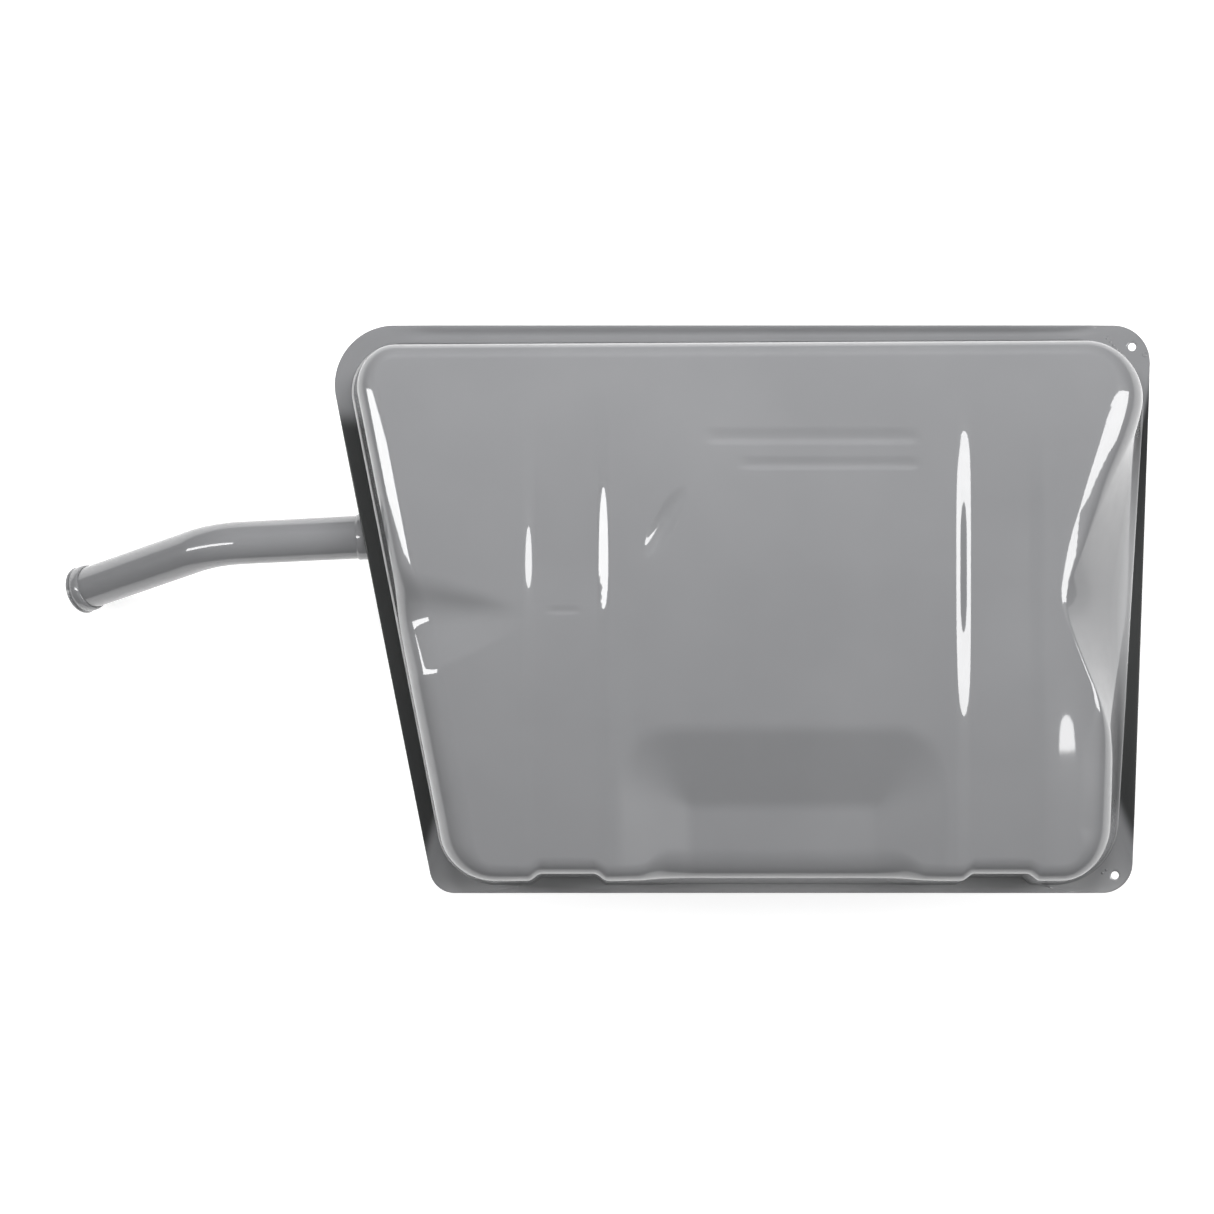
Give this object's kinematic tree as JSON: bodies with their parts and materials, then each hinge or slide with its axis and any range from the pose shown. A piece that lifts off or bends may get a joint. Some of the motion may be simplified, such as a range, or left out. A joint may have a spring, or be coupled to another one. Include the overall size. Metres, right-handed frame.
{
  "type": "vehicle fuel tank",
  "caption": "Pressed-steel vehicle fuel tank with a seam-welded flange, strap channels, a bent side filler pipe and a bayonet-locked gauge sender with a float arm.",
  "frame": {"origin": "centre of the bounding box in plan, on the resting face of the vehicle-top half", "axes": "+Z out of the underside, +X towards the flange's bolt holes and away from the filler pipe, +Y towards the flange's long edge"},
  "size_m": [1.1275, 0.581, 0.24],
  "materials": {
    "tank_paint": "glossy grey paint over drawn steel",
    "tinned_steel": "dull lead-tin coated steel sheet",
    "zinc_plate": "satin zinc plate",
    "seal_rubber": "matt moulded rubber",
    "black_plastic": "satin moulded plastic",
    "float_foam": "matt closed-cell foam",
    "brass": "plain brass"
  },
  "bodies": {
    "tank": {"lower_shell": "tank_paint", "upper_shell": "tank_paint", "baffle_left": "tinned_steel", "baffle_right": "tinned_steel", "baffle_long": "tinned_steel", "swirl_pot": "tinned_steel", "filler_socket": "tank_paint", "filler_pipe": "tank_paint", "filler_mouth": "tank_paint", "sender_seat": "tinned_steel", "sender_seal": "seal_rubber", "sender_plate": "zinc_plate", "sender_stem": "zinc_plate", "gauge_housing": "black_plastic", "gauge_resistor": "brass", "gauge_cover": "black_plastic", "feed_tube": "zinc_plate", "strainer": "brass", "return_tube": "zinc_plate", "vent_tube": "tinned_steel", "signal_terminal": "brass", "terminal_bush": "black_plastic", "earth_terminal": "zinc_plate"},
    "lock_ring": {"lock_ring": "zinc_plate"},
    "float_arm": {"pivot_pin": "zinc_plate", "wiper": "brass", "float_arm": "zinc_plate", "float": "float_foam", "float_clip": "zinc_plate"}
  },
  "joints": [
    {"name": "lock_ring_twist", "type": "hinge", "parent": "tank", "child": "lock_ring", "pos_m": [0.15, 0.05, 0.0242], "axis": [0, 0, -1], "range_deg": [0, 30]},
    {"name": "float_arm_swing", "type": "hinge", "parent": "tank", "child": "float_arm", "pos_m": [0.163, 0.0777, 0.12], "axis": [0, -1, 0], "range_deg": [0, 86]}
  ]
}
